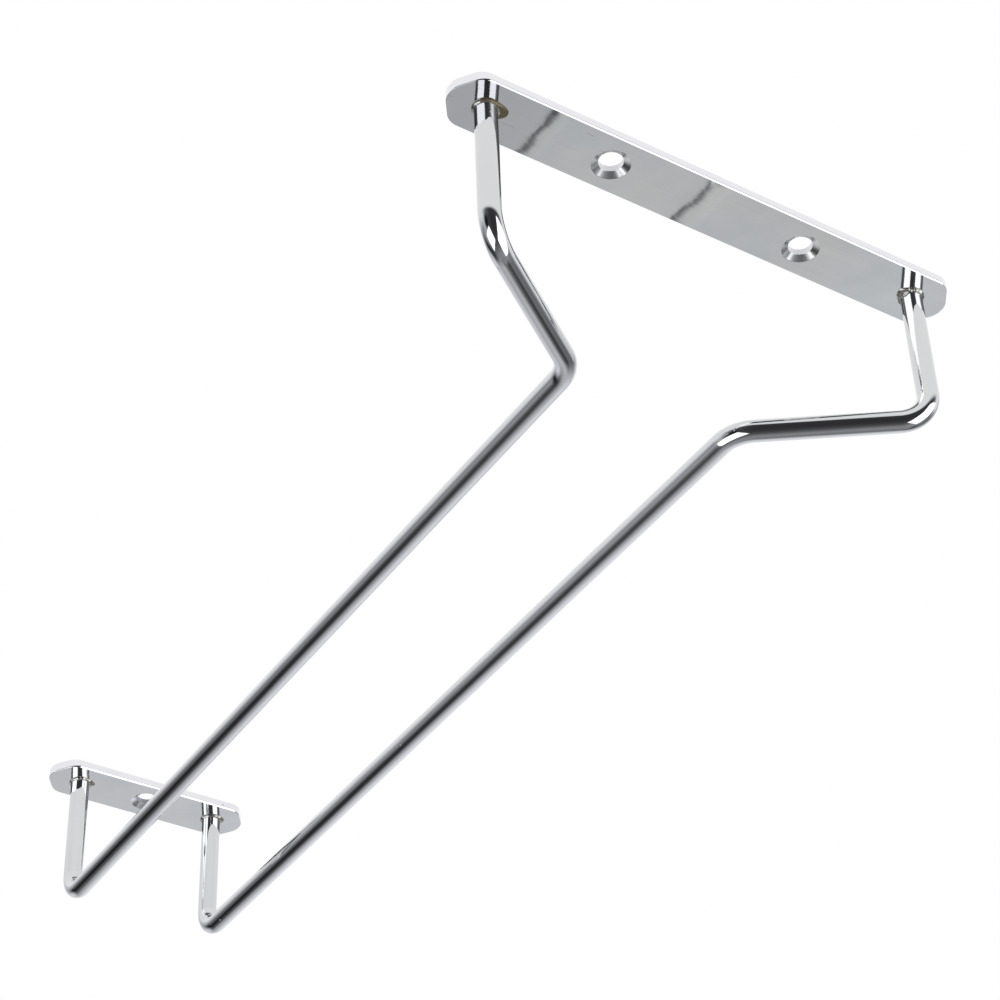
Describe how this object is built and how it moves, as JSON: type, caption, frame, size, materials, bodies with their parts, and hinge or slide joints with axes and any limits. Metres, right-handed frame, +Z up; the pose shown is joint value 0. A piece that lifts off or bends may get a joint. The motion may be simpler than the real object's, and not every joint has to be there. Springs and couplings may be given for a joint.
{
  "type": "hanging stemware rack",
  "caption": "Chromed wire rack that screws up under a shelf and holds stemmed glasses upside down in one open channel with a flared mouth.",
  "frame": {"origin": "centre of the front plate's top face, which lies against the underside of the shelf", "axes": "+Z up into the shelf, +Y from the front plate back along the rails, +X along the plates to the right as seen from the front"},
  "size_m": [0.1294, 0.2844, 0.041],
  "materials": {
    "chromed_bar": "polished",
    "chromed_wire": "polished",
    "chromed_weld": "satin"
  },
  "bodies": {
    "root": {"front_plate": "chromed_bar", "rear_plate": "chromed_bar", "left_rod": "chromed_wire", "right_rod": "chromed_wire", "front_left_weld": "chromed_weld", "front_right_weld": "chromed_weld", "rear_left_weld": "chromed_weld", "rear_right_weld": "chromed_weld"}
  },
  "joints": []
}
